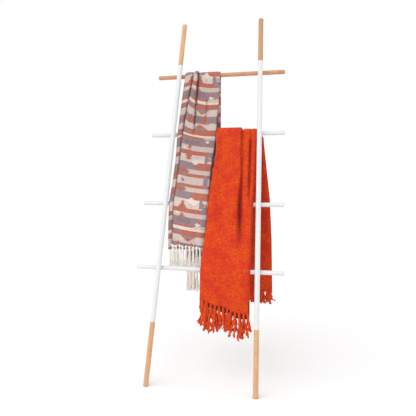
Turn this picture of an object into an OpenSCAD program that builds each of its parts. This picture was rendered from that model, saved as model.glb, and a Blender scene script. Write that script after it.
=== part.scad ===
// Leaning ladder rack with two throws hung over its rungs.
// Two round poles, wood at both ends and a white tube between, lean on a wall and draw together
// towards the top. Four rungs are bolted behind them. Each throw is a soft solid that lifts off.

/* [Ladder] */
// Length of a pole measured up the slope
pole_length = 1890; // [1700:10:2100]
// Angle by which the ladder leans back from the vertical
lean = 14.5; // [12:0.5:17]
// Diameter of the poles
pole_d = 25; // [24:1:28]
// Distance between the pole axes at the floor
gap_bottom = 533; // [510:1:560]
// Distance between the pole axes at the top
gap_top = 418; // [405:1:440]
// Wall of the white pole tube
pole_wall = 1.2; // [1:0.1:1.6]
// Length of wood at the foot of a pole
wood_bottom = 302; // [250:2:340]
// Length of wood at the top of a pole
wood_top = 237; // [180:1:250]

/* [Rungs] */
// Height of the top rung up the slope
top_rung_at = 1598; // [1594:1:1602]
// Height of the second rung up the slope
second_rung_at = 1270; // [1267:1:1275]
// Height of the third rung up the slope
third_rung_at = 901; // [897:1:905]
// Height of the bottom rung up the slope
bottom_rung_at = 570; // [566:1:574]
// Diameter of the rungs
rung_d = 22; // [20:1:24]
// Wall of the white rung tubes
rung_wall = 1.2; // [1:0.1:1.6]
// How far a rung runs past each pole axis
rung_overhang = 123; // [90:1:140]
// Width of the saddle between a pole and a rung
saddle_d = 16; // [14:1:17]
// Thickness of the saddle where the two tubes are closest
saddle_web = 1; // [0.8:0.1:1.5]

/* [Fastenings] */
// Diameter of the rung bolts
bolt_d = 6; // [5:0.5:6]
// Length of a rung bolt under its head
bolt_length = 35; // [32:1:36]
// Diameter of the threaded inserts in the poles
insert_d = 9; // [8.5:0.5:10]
// Diameter of the studs that join wood to tube
stud_d = 8; // [6:0.5:10]
// Length of a joining stud
stud_length = 50; // [40:2:60]

/* [Pads] */
// Thickness of the rubber pad under each foot
foot_pad = 3; // [2:0.5:5]
// How far the wall pads stand behind the top corner of a pole
wall_pad_proud = 3; // [2:0.5:4]
// Diameter of the wall pads
wall_pad_d = 12; // [10:1:14]

/* [Throws] */
// Thickness of the patterned throw's folded stack
patterned_t = 10; // [8:0.5:11]
// Thickness of the orange throw's folded stack
orange_t = 20; // [16:0.5:22]
// Gap between a throw and the rungs it lies on
cloth_gap = 0.3; // [0.3:0.1:0.5]

/* [Hidden] */
$fn = 48;

pole_r = pole_d / 2;
rung_r = rung_d / 2;
// Angle by which each pole leans inwards in the plane of the ladder
taper = atan((gap_bottom - gap_top) / 2 / pole_length);
// Distance of the rung axes behind the plane of the pole axes
rung_behind = pole_r + saddle_web + rung_r;
// Where the pole axes meet the floor, so that the model's box is centred on the origin
wall_y = pole_length * sin(lean) + pole_r * cos(lean) + wall_pad_proud;
front_y = foot_pad * tan(lean) - pole_r / cos(lean);
foot_y = -(wall_y + front_y) / 2;
// Clearance between parts that only rest on one another, and between a throw's parts
seat = 0.05;
// Clearance of holes round bolts
hole_gap = 0.2;
chamfer = 0.8;
plug_length = 28;
plug_fit = 0.05;
cap_t = 1.5;
cap_plug = 10;
head_d = 10.5;
head_h = 3;
socket_across = 4;
// How far the saddle reaches round the pole, and its whole height before it is hollowed
saddle_wrap = 3;
saddle_h = 7.6;
washer_d = 13;
washer_blank = 4;
// Height of the washer's flat face above the pole axis
washer_seat = rung_behind + rung_r + 1.5;
insert_length = 12;
peg_d = 6;
peg_h = 10;
pad_d = 22;
wall_pad_below_top = 9;
big = 1500;

rung_at = [top_rung_at, second_rung_at, third_rung_at, bottom_rung_at];

// Half the distance between the pole axes at a height s up the slope
function half_gap(s) = (gap_bottom + (gap_top - gap_bottom) * s / pole_length) / 2;
function rung_length(s) = 2 * (half_gap(s) + rung_overhang);
// Depth and height of a rung's axis, from its place up the slope
function rung_y(s) = foot_y + s * sin(lean) + rung_behind * cos(lean);
function rung_z(s) = s * cos(lean) - rung_behind * sin(lean);

// ---- Frames -------------------------------------------------------------------------------

// Ladder frame: X along the rungs, Y square to the ladder towards the wall, Z up the slope
module leaned() {
    translate([0, foot_y, 0])
        rotate([-lean, 0, 0])
            children();
}

// Pole frame: Z up one pole, which leans inwards; side is -1 on the left and 1 on the right
module along_pole(side) {
    leaned()
        translate([side * gap_bottom / 2, 0, 0])
            rotate([0, -side * taper, 0])
                children();
}

// Crossing frame: origin on the pole axis, Z square to the ladder towards the wall
module at_crossing(side, s) {
    leaned()
        translate([side * half_gap(s), 0, s])
            rotate([-90, 0, 0])
                children();
}

module at_crossings() {
    for (s = rung_at)
        for (side = [-1, 1])
            at_crossing(side, s)
                children();
}

// ---- Poles --------------------------------------------------------------------------------

// Round bar with a small chamfer at both ends, standing on the XY plane
module bar(r, length, edge) {
    rotate_extrude()
        polygon([[0, 0], [r - edge, 0], [r, edge], [r, length - edge], [r - edge, length], [0, length]]);
}

module above_foot_pad() {
    intersection() {
        children();
        translate([-big / 2, -big / 2, foot_pad])
            cube([big, big, 2 * big]);
    }
}

module top_pole(side) {
    start = pole_length - wood_top;
    color("burlywood")
        along_pole(side)
            difference() {
                translate([0, 0, start])
                    bar(pole_r, wood_top, chamfer);
                translate([0, 0, start - 1])
                    cylinder(d = stud_d + hole_gap, h = stud_length / 2 + 2);
            }
}

module bottom_pole(side) {
    color("burlywood")
        difference() {
            above_foot_pad()
                along_pole(side)
                    difference() {
                        translate([0, 0, -pole_d])
                            cylinder(r = pole_r, h = wood_bottom + pole_d);
                        translate([0, 0, wood_bottom - stud_length / 2 - 1])
                            cylinder(d = stud_d + hole_gap, h = stud_length);
                    }
            translate([side * foot_x(), foot_y + foot_pad * tan(lean), 0])
                cylinder(d = peg_d + hole_gap, h = foot_pad + peg_h + 1);
        }
}

function foot_x() = half_gap(foot_pad);

module white_tube(side) {
    length = pole_length - wood_top - wood_bottom;
    color("white")
        difference() {
            along_pole(side)
                translate([0, 0, wood_bottom])
                    difference() {
                        cylinder(r = pole_r, h = length);
                        translate([0, 0, -1])
                            cylinder(r = pole_r - pole_wall, h = length + 2);
                    }
            for (s = rung_at)
                at_crossing(side, s)
                    cylinder(d = insert_d + 2 * seat, h = pole_d);
        }
}

module foot_pad_piece(side) {
    color("gray")
        translate([side * foot_x(), foot_y + foot_pad * tan(lean), 0]) {
            cylinder(d = pad_d, h = foot_pad);
            cylinder(d = peg_d, h = foot_pad + peg_h);
        }
}

module wall_pad_piece(side) {
    s = pole_length - wall_pad_below_top;
    color("gray")
        difference() {
            translate([side * half_gap(s), 0, s * cos(lean)])
                rotate([-90, 0, 0])
                    cylinder(d = wall_pad_d, h = foot_y + wall_y);
            along_pole(side)
                cylinder(r = pole_r + seat, h = pole_length + pole_d);
            translate([-big / 2, -big, 0])
                cube([big, big + foot_y + s * sin(lean), 2 * big]);
        }
}

module tube_plugs() {
    color("dimgray")
        for (side = [-1, 1])
            for (s = [wood_bottom, pole_length - wood_top - plug_length])
                along_pole(side)
                    translate([0, 0, s])
                        difference() {
                            cylinder(r = pole_r - pole_wall - plug_fit, h = plug_length);
                            translate([0, 0, -1])
                                cylinder(d = stud_d + hole_gap, h = plug_length + 2);
                        }
}

module joining_studs() {
    color("silver")
        for (side = [-1, 1])
            for (s = [wood_bottom, pole_length - wood_top])
                along_pole(side)
                    translate([0, 0, s - stud_length / 2])
                        bar(stud_d / 2, stud_length, 0.6);
}

// ---- Rungs --------------------------------------------------------------------------------

module along_rung(s) {
    leaned()
        translate([-rung_length(s) / 2, rung_behind, s])
            rotate([0, 90, 0])
                children();
}

module bolt_holes(s) {
    for (side = [-1, 1])
        at_crossing(side, s)
            cylinder(d = bolt_d + 2 * hole_gap, h = 3 * pole_d);
}

module wood_rung(s) {
    color("peru")
        difference() {
            along_rung(s)
                bar(rung_r, rung_length(s), chamfer);
            bolt_holes(s);
        }
}

module tube_rung(s) {
    length = rung_length(s) - 2 * cap_t;
    color("white")
        difference() {
            along_rung(s)
                translate([0, 0, cap_t])
                    difference() {
                        cylinder(r = rung_r, h = length);
                        translate([0, 0, -1])
                            cylinder(r = rung_r - rung_wall, h = length + 2);
                    }
            bolt_holes(s);
        }
}

// Closing cap of a rung tube: a disc with a rounded edge and a plug inside the tube
module end_cap() {
    rotate_extrude()
        polygon([
            [0, 0], [rung_r - chamfer, 0], [rung_r, chamfer], [rung_r, cap_t],
            [rung_r - rung_wall - plug_fit, cap_t], [rung_r - rung_wall - plug_fit, cap_t + cap_plug],
            [0, cap_t + cap_plug]
        ]);
}

module rung_end_caps() {
    color("whitesmoke")
        for (s = [second_rung_at, third_rung_at, bottom_rung_at])
            along_rung(s)
                for (end = [0, 1])
                    translate([0, 0, end * rung_length(s)])
                        rotate([end * 180, 0, 0])
                            end_cap();
}

// ---- Fastenings at the eight crossings ----------------------------------------------------

module pole_core(r) {
    for (side = [-1, 1])
        along_pole(side)
            cylinder(r = r, h = pole_length);
}

module rung_cores(r) {
    for (s = rung_at)
        along_rung(s)
            cylinder(r = r, h = rung_length(s));
}

module rung_saddles() {
    color("whitesmoke")
        difference() {
            at_crossings()
                difference() {
                    translate([0, 0, pole_r - saddle_wrap])
                        cylinder(d = saddle_d, h = saddle_h);
                    cylinder(d = bolt_d + 2 * hole_gap, h = 3 * pole_d);
                }
            pole_core(pole_r + seat);
            rung_cores(rung_r + seat);
        }
}

module rung_bolts() {
    color("silver")
        at_crossings()
            difference() {
                union() {
                    translate([0, 0, washer_seat - bolt_length])
                        cylinder(d = bolt_d, h = bolt_length);
                    translate([0, 0, washer_seat])
                        rotate_extrude()
                            polygon([[0, 0], [head_d / 2, 0], [head_d / 2, 1], [3.5, head_h], [0, head_h]]);
                }
                translate([0, 0, washer_seat + 1])
                    cylinder(d = socket_across / cos(30), h = head_h, $fn = 6);
            }
}

module curved_washers() {
    color("gainsboro")
        difference() {
            at_crossings()
                translate([0, 0, washer_seat - washer_blank])
                    difference() {
                        cylinder(d = washer_d, h = washer_blank);
                        translate([0, 0, -1])
                            cylinder(d = bolt_d + 2 * hole_gap, h = washer_blank + 2);
                    }
            rung_cores(rung_r + seat);
        }
}

module threaded_inserts() {
    color("goldenrod")
        intersection() {
            at_crossings()
                translate([0, 0, pole_r - insert_length])
                    difference() {
                        cylinder(d = insert_d, h = insert_length + 1);
                        translate([0, 0, -1])
                            cylinder(d = bolt_d + hole_gap, h = insert_length + 3);
                    }
            pole_core(pole_r - seat);
        }
}

// ---- Throws -------------------------------------------------------------------------------

// Flat slab in front of the rungs: the outline is in X and height up the slope
module slope_slab(outline, t) {
    leaned()
        translate([0, rung_behind - rung_r - cloth_gap, 0])
            rotate([90, 0, 0])
                linear_extrude(t)
                    polygon(outline);
}

// Hanging slab: the outline is in X and height, and its back face is at depth y
module hanging_slab(outline, t, y) {
    translate([0, y, 0])
        rotate([90, 0, 0])
            linear_extrude(t)
                polygon(outline);
}

// The bend over a rung, from the slope in front round to the vertical behind
module over_rung(s, x_left, x_right, t) {
    inner = rung_r + cloth_gap;
    translate([x_left, rung_y(s), rung_z(s)])
        rotate([90, 0, 90])
            rotate_extrude(angle = 180 - lean)
                translate([inner, 0])
                    square([t, x_right - x_left]);
}

function front_face_y(s) = rung_y(s) - rung_r - cloth_gap;
function back_face_y(s, t) = rung_y(s) + rung_r + cloth_gap + t;

// Sides of the patterned throw, left and right, from the top rung down to the third
patterned_left = [
    [-186, top_rung_at - seat], [-196, 1458], [-207, 1270], [-207, 1144], [-213, 1021],
    [-221.5, third_rung_at - 8]
];
patterned_right = [[-21, third_rung_at - 8], [-14, 1048], [4, 1233], [5, 1297], [1, top_rung_at - seat]];
// Below the third rung it hangs straight down, to a hem that is lower in its left strip
patterned_drop = [
    [-221.5, rung_z(third_rung_at) + 7], [-222, 757], [-222, 629], [-205, 629], [-205, 659],
    [-122, 652], [-34, 645], [-30, 762], [-21, rung_z(third_rung_at) + 7]
];
patterned_back_outline = [
    [-186, rung_z(top_rung_at) - seat], [-196, 1295], [-196, 485], [-24, 479], [-10, 1041], [-1, 1266],
    [1, rung_z(top_rung_at) - seat]
];
patterned_fringe = [
    [-222, 628.7], [-204.7, 628.7], [-204.7, 658.6], [-122, 651.7], [-34, 644.7], [-36, 541],
    [-222, 539]
];
patterned_back_fringe_outline = [[-196, 484.7], [-24, 478.7], [-24, 367], [-196, 367]];

// Sides of the orange throw, left and right, from the second rung down to the bottom one
orange_left = [
    [9, second_rung_at - seat], [13, 1165], [8, 1097], [0, 1019], [-8, 937], [-12, 810], [-19, 739],
    [-26, 665], [-30, 591], [-31, bottom_rung_at - 14]
];
orange_right = [[214, bottom_rung_at - 14], [213, 816], [212, 969], [211, second_rung_at - seat]];
orange_drop = [
    [-31, rung_z(bottom_rung_at) + 2], [-32, 476], [-34, 407], [-20, 399], [54, 377], [113, 366],
    [148, 349], [211, 344], [214, 465], [214, rung_z(bottom_rung_at) + 2]
];
orange_back_outline = [
    [9, rung_z(second_rung_at) - seat], [9, 399], [205.5, 404], [205.5, rung_z(second_rung_at) - seat]
];
// The strip of the back part that reaches past the right pole, behind it
orange_corner_outline = [
    [205.6, rung_z(second_rung_at)], [213, 1217], [219, 1204], [238, 1201], [253, 1131],
    [266, 1014], [275, 886], [285, 679], [290, 419], [240, 411], [205.6, 404]
];
orange_fringe = [
    [-34, 406.7], [-20, 398.7], [54, 376.7], [113, 365.7], [148, 348.7], [211, 343.7], [214, 285],
    [190, 214], [148, 241], [79, 249], [0, 228], [-40, 315]
];
orange_back_fringe_outline = [
    [9, 398.7], [205.5, 403.7], [240, 410.7], [290, 418.7], [290, 345], [178, 338], [9, 335]
];

module patterned_throw_front() {
    color("rosybrown") {
        slope_slab(concat(patterned_left, patterned_right), patterned_t);
        hanging_slab(patterned_drop, patterned_t, front_face_y(third_rung_at));
    }
}

module patterned_throw_fold() {
    color("rosybrown")
        over_rung(top_rung_at, -186, 1, patterned_t);
}

module patterned_throw_back() {
    color("rosybrown")
        hanging_slab(patterned_back_outline, patterned_t, back_face_y(top_rung_at, patterned_t));
}

module patterned_front_fringe() {
    color("linen")
        hanging_slab(patterned_fringe, patterned_t, front_face_y(third_rung_at));
}

module patterned_back_fringe() {
    color("linen")
        hanging_slab(patterned_back_fringe_outline, patterned_t, back_face_y(top_rung_at, patterned_t));
}

module orange_throw_front() {
    color("orangered") {
        slope_slab(concat(orange_left, orange_right), orange_t);
        hanging_slab(orange_drop, orange_t, front_face_y(bottom_rung_at));
    }
}

module orange_throw_fold() {
    color("orangered")
        over_rung(second_rung_at, 9, 205.5, orange_t);
}

module orange_throw_back() {
    color("firebrick")
        hanging_slab(orange_back_outline, orange_t, back_face_y(second_rung_at, orange_t));
}

module orange_throw_corner() {
    color("firebrick")
        hanging_slab(orange_corner_outline, orange_t, back_face_y(second_rung_at, orange_t));
}

module orange_front_fringe() {
    color("tomato")
        hanging_slab(orange_fringe, orange_t, front_face_y(bottom_rung_at));
}

module orange_back_fringe() {
    color("firebrick")
        hanging_slab(orange_back_fringe_outline, orange_t, back_face_y(second_rung_at, orange_t));
}

// ---- Nodes --------------------------------------------------------------------------------

top_pole(-1);  // left_top_pole
top_pole(1);  // right_top_pole
white_tube(-1);  // left_white_tube
white_tube(1);  // right_white_tube
bottom_pole(-1);  // left_bottom_pole
bottom_pole(1);  // right_bottom_pole
foot_pad_piece(-1);  // left_foot_pad
foot_pad_piece(1);  // right_foot_pad
wall_pad_piece(-1);  // left_wall_pad
wall_pad_piece(1);  // right_wall_pad
tube_plugs();
joining_studs();
wood_rung(top_rung_at);  // top_rung
tube_rung(second_rung_at);  // second_rung
tube_rung(third_rung_at);  // third_rung
tube_rung(bottom_rung_at);  // bottom_rung
rung_end_caps();
rung_saddles();
rung_bolts();
curved_washers();
threaded_inserts();
patterned_throw_front();
patterned_throw_fold();
patterned_throw_back();
patterned_front_fringe();
patterned_back_fringe();
orange_throw_front();
orange_throw_fold();
orange_throw_back();
orange_throw_corner();
orange_front_fringe();
orange_back_fringe();
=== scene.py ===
"""Leaning ladder rack with two throws: the looks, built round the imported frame.

Lengths are in metres. X runs along the rungs, +Y points to the wall that the ladder leans on, and Z is up.
"""

import math

import bpy
import numpy as np
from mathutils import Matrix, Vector


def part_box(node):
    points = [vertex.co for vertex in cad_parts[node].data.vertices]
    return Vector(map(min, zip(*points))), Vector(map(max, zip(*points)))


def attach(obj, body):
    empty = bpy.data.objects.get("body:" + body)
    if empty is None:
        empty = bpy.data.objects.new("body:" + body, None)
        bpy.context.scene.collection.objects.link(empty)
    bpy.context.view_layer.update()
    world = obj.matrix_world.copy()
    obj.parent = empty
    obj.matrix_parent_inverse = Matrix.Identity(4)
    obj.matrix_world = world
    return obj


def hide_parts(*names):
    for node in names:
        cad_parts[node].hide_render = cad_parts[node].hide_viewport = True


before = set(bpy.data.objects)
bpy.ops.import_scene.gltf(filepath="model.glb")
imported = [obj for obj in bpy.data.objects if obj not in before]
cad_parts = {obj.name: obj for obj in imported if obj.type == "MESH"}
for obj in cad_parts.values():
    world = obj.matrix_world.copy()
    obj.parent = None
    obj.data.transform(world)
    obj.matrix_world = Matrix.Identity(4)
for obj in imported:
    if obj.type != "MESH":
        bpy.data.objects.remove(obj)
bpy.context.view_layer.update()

bl_info = {
    "name": "Ladder Rack with Throws",
    "version": (1, 0, 0),
    "blender": (4, 5, 0),
    "location": "View3D > Sidebar > Ladder Rack",
    "description": "Finishes of a leaning ladder rack, and the two fringed throws that hang on it",
    "category": "Object",
}

SIDES = {"left": -1, "right": 1}
POLE_OVER_RUNG = 0.003
SKIN_GAP = 0.0004
WEAVE_PITCH = 0.0042
WOOL_PITCH = 0.0062
ROPE_PITCH = 0.046
TURN_STEPS = 3
FULL_TURN = 6.3


# ---- Measures taken from the frame ----

def rung_axis(node):
    """Depth and height of a rung's axis: the middle of its box."""
    low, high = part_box(node)
    return np.array([(low.y + high.y) / 2, (low.z + high.z) / 2])


def rung_radius(node):
    """Half the height of a rung's box."""
    low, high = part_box(node)
    return (high.z - low.z) / 2


TOP = rung_axis("top_rung")
SECOND = rung_axis("second_rung")
THIRD = rung_axis("third_rung")
BOTTOM = rung_axis("bottom_rung")
LEAN = math.atan2(TOP[0] - BOTTOM[0], TOP[1] - BOTTOM[1])


def pole_taper():
    """Angle by which a pole leans inwards: the sideways shift of its white tube over the tube's height."""
    low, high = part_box("right_white_tube")
    diameter = 2 * rung_radius("top_rung") + POLE_OVER_RUNG
    slope_length = (high.z - low.z) / math.cos(LEAN)
    return math.atan((high.x - low.x - diameter) / slope_length)


# ---- Small helpers ----

def smooth(x, low, high):
    """0 below low, 1 above high, and a cubic ease between them."""
    s = np.clip((np.asarray(x, float) - low) / (high - low), 0, 1)
    return s * s * (3 - 2 * s)


def line_through(points):
    """A function that runs straight between (place, value) points, with its corners eased off."""
    at, value = np.array(points, float).T

    def read(t):
        t = np.asarray(t, float)
        ease = 0.008
        return sum(np.interp(t + shift, at, value) for shift in (-ease, -ease / 2, 0, ease / 2, ease)) / 5

    return read


def bell(x, middle, width):
    """A rounded bump 1 high at middle that falls off over width."""
    return np.exp(-(((x - middle) / width) ** 2))


def rim_of(x, left, right):
    """0 at the middle of a stack and 1 at its two folded edges."""
    middle = (left + right) / 2
    half = (right - left) / 2
    return np.clip(np.abs(x - middle) / half, 0, 1)


def grid_faces(rows, columns, wrap=False):
    """Quads that join neighbours on a grid, and the last column to the first if it wraps."""
    across = columns if wrap else columns - 1
    row, column = np.meshgrid(np.arange(rows - 1), np.arange(across), indexing="ij")
    start = row * columns
    after = (column + 1) % columns
    return np.stack(
        [start + column, start + after, start + columns + after, start + columns + column], -1
    ).reshape(-1, 4)


def piece_from(name, points, faces, uv=None, painted_shade=None):
    """A smooth mesh object from an array of points and a list of faces.

    uv gives each point's place on the flat cloth, and the last argument how much shade is painted into its
    colour, from 0 to 1.
    """
    mesh = bpy.data.meshes.new(name)
    mesh.from_pydata(points.reshape(-1, 3).tolist(), [], faces)
    if uv is not None:
        corner = np.zeros(len(mesh.loops), np.int32)
        mesh.loops.foreach_get("vertex_index", corner)
        layer = mesh.uv_layers.new(name="cloth")
        layer.data.foreach_set("uv", uv.reshape(-1, 2)[corner].astype(np.float32).ravel())
    # Shade painted into the colour, kept per point for the cloth's material to read.
    if painted_shade is not None:
        layer = mesh.attributes.new("painted_shade", "FLOAT", "POINT")
        layer.data.foreach_set("value", painted_shade.astype(np.float32).ravel())
    mesh.polygons.foreach_set("use_smooth", np.ones(len(mesh.polygons), bool))
    mesh.update()
    piece = bpy.data.objects.new(name, mesh)
    bpy.context.scene.collection.objects.link(piece)
    return piece


# ---- Folded cloth ----

class Belt:
    """The line that a throw follows: up the slope, round the upper rung and down behind.

    Below the lower rung it hangs straight. Place t along it is 0 where the slope meets the upper rung,
    negative in front and positive behind. depth is the distance outwards from the skin of the rungs.
    """

    def __init__(self, upper, lower, radius):
        self.upper, self.lower, self.radius = upper, lower, radius
        self.slope = float(np.linalg.norm(upper - lower))
        self.round_top = radius * (math.pi - LEAN)
        self.bend = radius * LEAN

    def at(self, t, depth):
        """Depth and height in the room of each point: straight runs, with arcs round the two rungs."""
        reach = self.radius + depth
        front_angle = math.pi - LEAN
        below = t < -self.slope - self.bend
        bending = ~below & (t < -self.slope)
        sloping = ~below & ~bending & (t < 0)
        turning = (t >= 0) & (t < self.round_top)
        centre_y = np.where(below | bending, self.lower[0], self.upper[0])
        centre_z = np.where(below | bending, self.lower[1], self.upper[1])
        lower_angle = front_angle - (t + self.slope) / self.radius
        upper_angle = front_angle - t / self.radius
        angle = np.select(
            [below, bending, sloping, turning], [math.pi, lower_angle, front_angle, upper_angle], 0.0
        )
        run = np.select(
            [below, sloping, t >= self.round_top], [t + self.slope + self.bend, t, self.round_top - t], 0.0
        )
        y = centre_y + reach * np.cos(angle) + np.where(sloping, run * math.sin(LEAN), 0)
        z = centre_z + reach * np.sin(angle) + np.where(sloping, run * math.cos(LEAN), run)
        return y, z


def turn_angles():
    """Angles of the columns that make the turn between two layers."""
    return np.linspace(0, np.pi, TURN_STEPS + 2)[1:-1]


def fold_columns(counts):
    """Columns of a cloth folded to and fro, the first layer running leftwards.

    Returns each column's level in the stack (0 lies on the rungs), its place across the layer (0 left to
    1 right), and how far the turn between two layers bulges, -1 left to 1 right.
    """
    rightwards = False
    level = []
    across = []
    bulge = []
    for layer, count in enumerate(counts):
        even = np.linspace(0, 1, count)
        run = 0.55 * even + 0.45 * (1 - np.cos(np.pi * even)) / 2
        run = run if rightwards else 1 - run
        level.append(np.full(count, float(layer)))
        across.append(run)
        bulge.append(np.zeros(count))
        if layer < len(counts) - 1:
            turn = turn_angles()
            level.append(layer + (1 - np.cos(turn)) / 2)
            across.append(np.full(TURN_STEPS, run[-1]))
            bulge.append(np.sin(turn) * (1 if rightwards else -1))
        rightwards = not rightwards
    return np.concatenate(level), np.concatenate(across), np.concatenate(bulge)


def place_rows(belt, front, back, rows_front, rows_top, rows_back):
    """Places t of every point, hem to hem: even rows front and back, and closer ones over the rung."""
    down = np.linspace(1, 0, rows_front)[:, None]
    over = np.linspace(0, 1, rows_top + 2)[1:-1, None]
    behind = np.linspace(0, 1, rows_back)[:, None]
    return np.concatenate([
        -down * front[None],
        over * np.full_like(front, belt.round_top)[None],
        belt.round_top + behind * back[None],
    ])


def width_run(points, row):
    """Distance across the cloth to each column, measured along one row."""
    step = np.linalg.norm(np.diff(points[row], axis=0), axis=1)
    return np.concatenate([[0], np.cumsum(step)])


def thicken(piece, thickness):
    """Gives a sheet its thickness, half on each side."""
    wall = piece.modifiers.new("thickness", "SOLIDIFY")
    wall.thickness = thickness
    wall.offset = 0


# ---- The patterned throw ----

P_BELT = Belt(TOP, THIRD, rung_radius("top_rung") + SKIN_GAP)
P_LEVELS = 6
P_COLUMNS = (18, 16, 18, 16, 18, 34, 60)
P_ROWS = (92, 12, 100)
P_MIDDLE_ROW = 45
P_TUCK_COLUMNS = 6
P_TUCK_SHARE = 0.22
P_HANG = 0.93
P_WOVEN_START = 0.915
P_LEAST_DEPTH = 0.0014
P_FRINGES = (("patterned_front_tassels", 0, 0.104), ("patterned_back_tassels", -1, 0.112))
P_LEFT = line_through([
    (-0.94, -0.229), (-0.805, -0.228), (-0.69, -0.2235), (-0.578, -0.2135), (-0.455, -0.207),
    (-0.329, -0.207), (-0.141, -0.197), (-0.03, -0.189), (0.02, -0.1865), (0.28, -0.196), (1.06, -0.197),
])
P_RIGHT = line_through([
    (-0.93, -0.040), (-0.805, -0.029), (-0.706, -0.019), (-0.551, -0.013), (-0.366, 0.004),
    (-0.30, 0.006), (-0.02, 0.001), (0.05, -0.001), (0.30, -0.001), (0.53, -0.009), (1.06, -0.024),
])
P_VALLEY = line_through([
    (-0.93, -0.206), (-0.707, -0.196), (-0.693, -0.195), (-0.578, -0.188), (-0.444, -0.180),
    (-0.363, -0.178), (-0.237, -0.167), (-0.142, -0.155), (-0.007, -0.137), (0.04, -0.140),
    (0.30, -0.150), (1.06, -0.150),
])
P_CREASE = line_through([(-0.40, -0.118), (-0.227, -0.116), (-0.149, -0.116), (-0.014, -0.112), (0.05, -0.112)])
P_LAYER_SHIFT = np.array([0.004, 0.0, 0.006, 0.001, 0.005, 0.0, 0.0])


def patterned_creases(x, t):
    """Depth of the front's creases, 0 to 1: two run over the rung, and a soft one lies right of them."""
    over = smooth(-t, -0.05, -0.02)
    fade = 0.60 + 0.40 * (1 - smooth(-t, 0.30, 0.55))
    first = over * bell(x, P_VALLEY(t) - 0.003, 0.0050) * fade
    second = over * bell(x, P_CREASE(t), 0.0046) * (1 - smooth(-t, 0.22, 0.38))
    third = bell(x, -0.058, 0.0060) * smooth(-t, 0.10, 0.16) * (1 - smooth(-t, 0.22, 0.30))
    return first, second, third


def patterned_depth(level, x, t, pitch):
    """Height of each layer over the rung: level times pitch, open over the pleats, pinched at creases."""
    front = smooth(-t, 0.0, 0.02)
    top = smooth(-t, -0.06, -0.01) * (1 - smooth(-t, 0.10, 0.34))
    pleats = 1 - smooth(x, P_CREASE(t) - 0.003, P_CREASE(t) + 0.004)
    thick = 1 + top * (0.62 + 0.85 * pleats - 1)
    first, second, third = patterned_creases(x, t)
    thick = thick * (1 - 0.62 * first) * (1 - 0.72 * second) * (1 - 0.30 * third)
    rim = rim_of(x, P_LEFT(t), P_RIGHT(t))
    thick = thick * (0.55 + 0.45 * np.sqrt(np.clip(1 - rim ** 9, 0, 1)))
    lift = smooth(level, 5.2, 6) * (0.0016 + 0.0036 * front * bell(x, P_VALLEY(t) + 0.014, 0.02))
    return pitch * (level + 0.5) * thick + lift


def patterned_slip(x, t, across, main):
    """How far the woven bands slip along the cloth.

    They run down to the right, sag between creases, and lie aslant on the pleats beside them.
    """
    slope = 0.13 * (x + 0.12)
    in_front = smooth(-t, -0.10, -0.02)
    sag = (0.004 + 0.012 * bell(t, -0.20, 0.16)) * (1 - ((across - 0.6) / 0.5) ** 2) * main
    pleat = 0.38 * np.clip(x - P_VALLEY(t), 0, 0.022) * (x < P_CREASE(t))
    pleat = pleat * (1 - smooth(-t, 0.24, 0.36)) * main
    pleat = pleat * in_front
    strip = (0.030 * np.clip(-t / P_HANG, 0, 1) - 0.40 * in_front * (x - P_VALLEY(t))) * (1 - main)
    return slope + sag + pleat + strip


def patterned_sway(x, t):
    """Soft waves of the whole stack: upright folds down the free hang, and the sag between rungs."""
    hang = smooth(-t, 0.68, 0.90)
    behind = smooth(t, 0.06, 0.5)
    fold = np.sin(x * 74 + 2.2 * np.sin(t * 3.1)) + 0.5 * np.sin(x * 131 + t * 5.0)
    spacing_one = float(np.linalg.norm(TOP - SECOND))
    spacing_two = P_BELT.slope - spacing_one
    between = np.where(-t < spacing_one, -t / spacing_one, (-t - spacing_one) / spacing_two)
    sag = 0.003 * np.sin(np.pi * np.clip(between, 0, 1)) * (t < 0)
    return 0.0022 * fold * (hang + behind) - sag


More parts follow.
